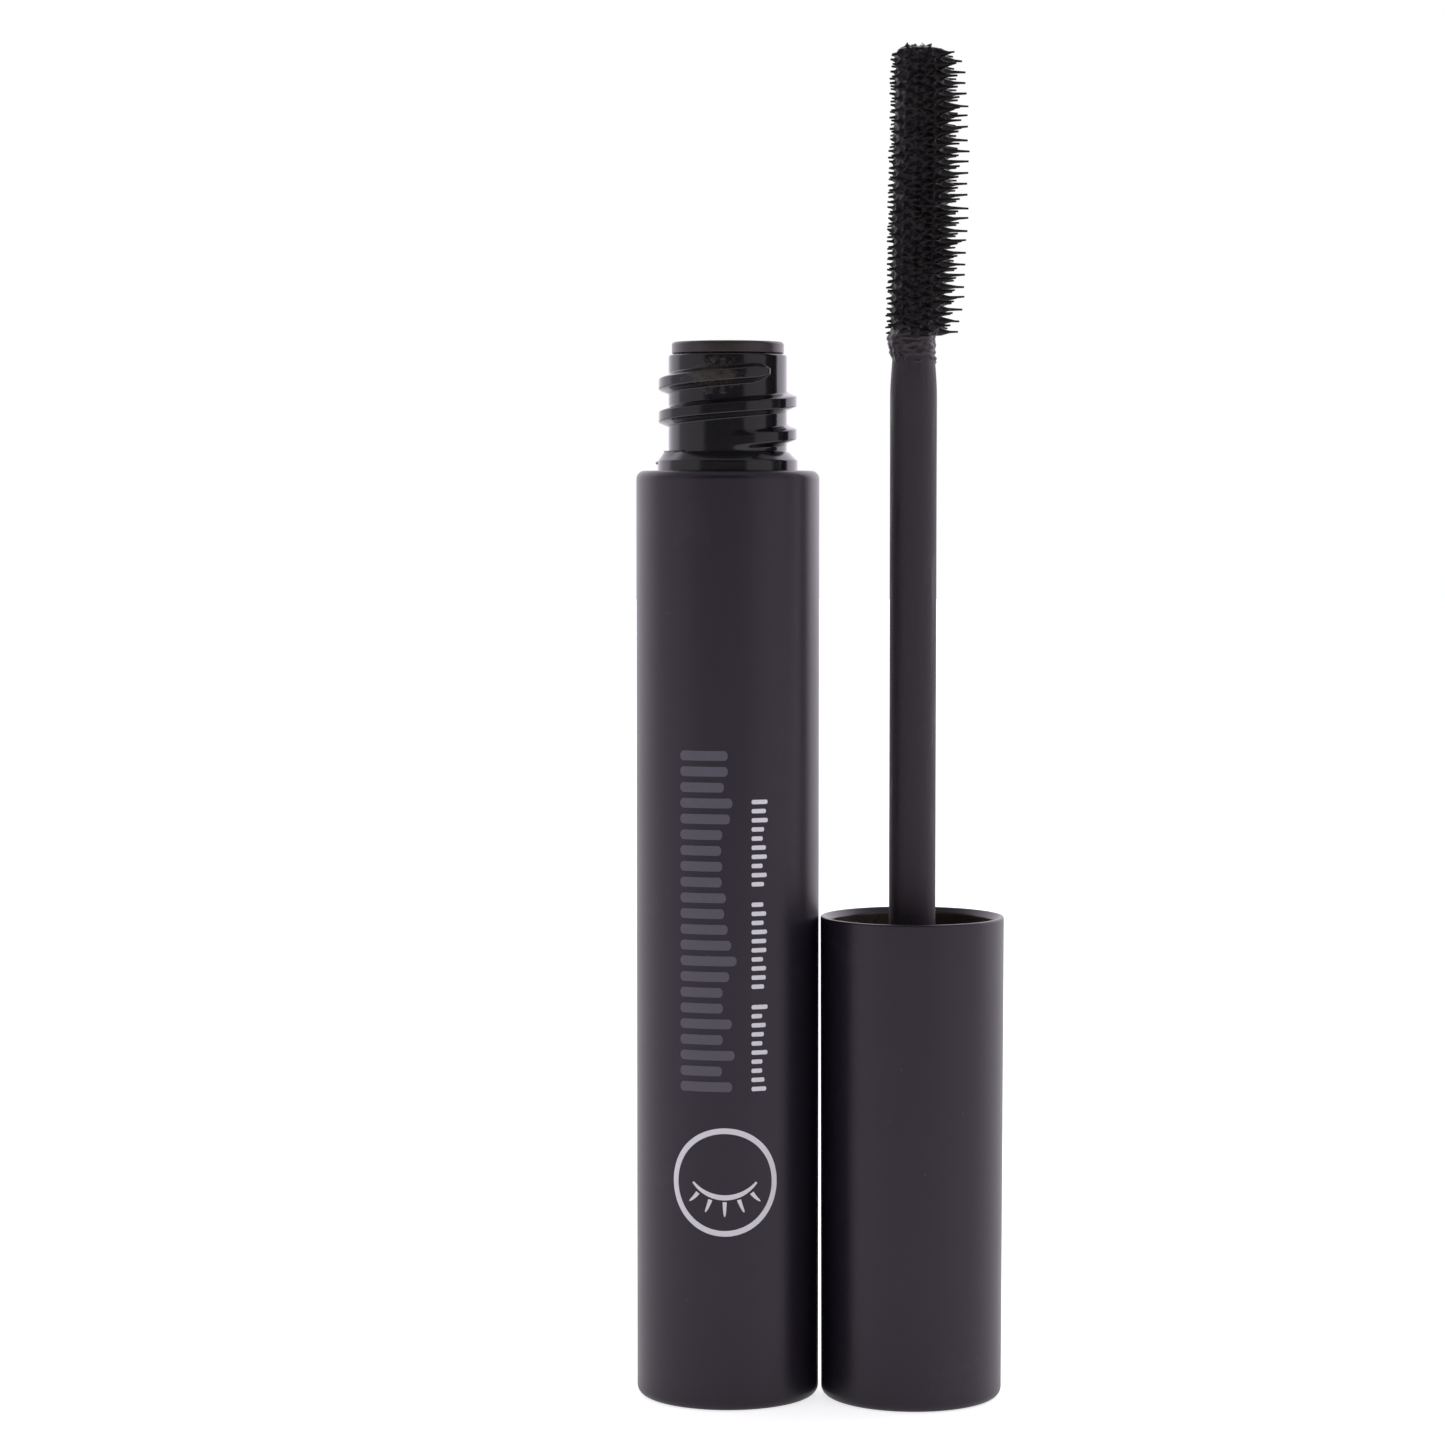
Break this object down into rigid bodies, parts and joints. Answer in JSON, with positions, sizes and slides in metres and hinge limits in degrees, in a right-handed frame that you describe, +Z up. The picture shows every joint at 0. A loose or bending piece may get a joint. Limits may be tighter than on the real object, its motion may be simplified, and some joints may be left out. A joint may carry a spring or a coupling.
{
  "type": "mascara tube",
  "caption": "Slim round mascara tube, opened: upright bottle with a screw neck and wiper, and its screw-cap applicator with a stem and a moulded comb brush.",
  "frame": {"origin": "centre of the footprint of the two standing pieces, on the surface that they stand on", "axes": "+Z up, along the axes of the bottle and the applicator; +X from the bottle to the applicator; -Y the decorated front"},
  "size_m": [0.0362, 0.0188, 0.133],
  "materials": {
    "soft_touch": "soft-touch lacquer",
    "gloss_black": "polished moulding",
    "wiper_plastic": "satin",
    "paste": "wet cream",
    "label": "satin film",
    "ink_grey": "satin printing ink",
    "ink_white": "satin printing ink",
    "seal_rubber": "matte",
    "stem_plastic": "satin",
    "brush_rubber": "satin elastomer"
  },
  "bodies": {
    "bottle": {"outer_tube": "soft_touch", "base_label": "label", "inner_bottle": "gloss_black", "wiper": "wiper_plastic", "mascara_paste": "paste"},
    "seal": {"seal_washer": "seal_rubber"},
    "applicator": {"outer_cap": "soft_touch", "inner_cap": "gloss_black", "stem": "stem_plastic", "brush": "brush_rubber"}
  },
  "joints": [
    {"name": "applicator_lift", "type": "slide", "parent": "bottle", "child": "seal", "axis": [0, 0, 1], "range_m": [0, 0.1]},
    {"name": "applicator_twist", "type": "hinge", "parent": "seal", "child": "applicator", "pos_m": [0.00908, -0.00038, 0.0342], "axis": [0, 0, -1], "range_deg": [0, 576]}
  ]
}
